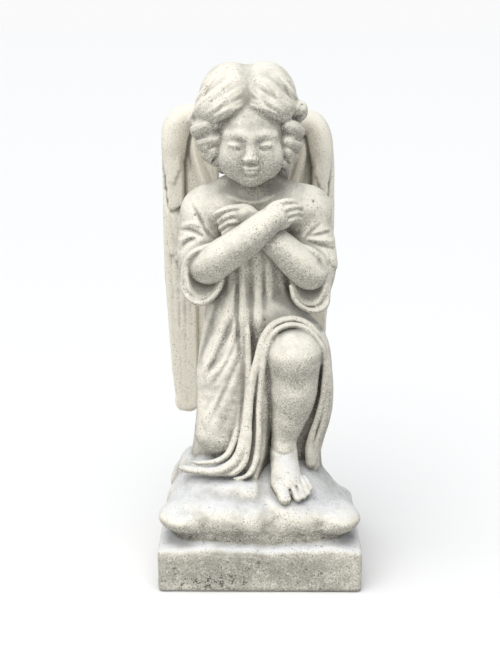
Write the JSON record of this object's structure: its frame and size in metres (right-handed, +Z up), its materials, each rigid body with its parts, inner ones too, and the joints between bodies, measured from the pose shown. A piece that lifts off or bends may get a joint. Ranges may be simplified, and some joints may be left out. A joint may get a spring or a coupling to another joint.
{
  "type": "cemetery angel statue",
  "caption": "Kneeling child angel of weathered cast stone, forearms crossed on its chest, wings folded, cast in one with a rocky mound and a plain plinth.",
  "frame": {"origin": "middle of the plinth's underside, on the ground", "axes": "+Z up through the figure; the angel faces -Y; +X is to the viewer's right"},
  "size_m": [0.236, 0.224, 0.6],
  "materials": {
    "cast_stone": "weathered, matt"
  },
  "bodies": {
    "root": {"kneeling_angel": "cast_stone"}
  },
  "joints": []
}
